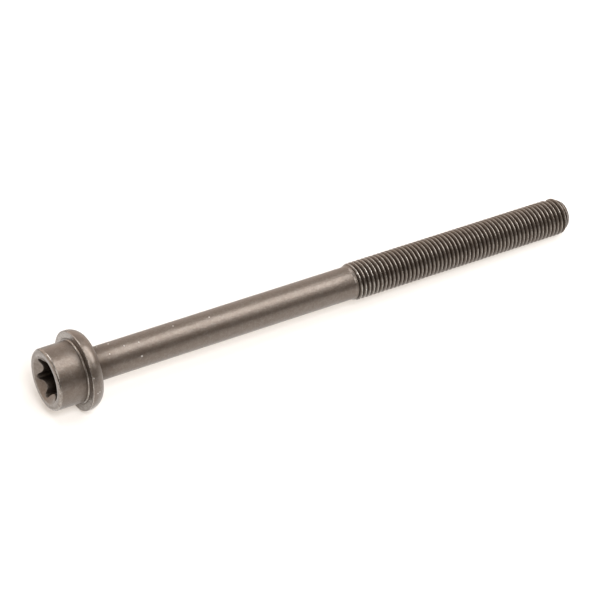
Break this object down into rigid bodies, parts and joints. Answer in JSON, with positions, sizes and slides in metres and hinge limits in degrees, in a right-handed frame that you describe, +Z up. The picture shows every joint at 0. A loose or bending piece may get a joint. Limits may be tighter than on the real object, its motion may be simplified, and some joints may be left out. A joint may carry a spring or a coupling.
{
  "type": "cylinder head bolt",
  "caption": "Long engine bolt: cylindrical head with a countersunk six-lobe socket, integral flange, reduced plain shank and a long fine-threaded end.",
  "frame": {"origin": "centre of the bolt's bounding box, on the surface that it lies on", "axes": "+X runs along the bolt from its head to its tip, and the bolt's axis falls about 2 degrees towards the tip; +Z is up"},
  "size_m": [0.156, 0.0206, 0.0206],
  "materials": {
    "steel": "satin phosphated steel, brownish grey"
  },
  "bodies": {
    "root": {"bolt": "steel"}
  },
  "joints": []
}
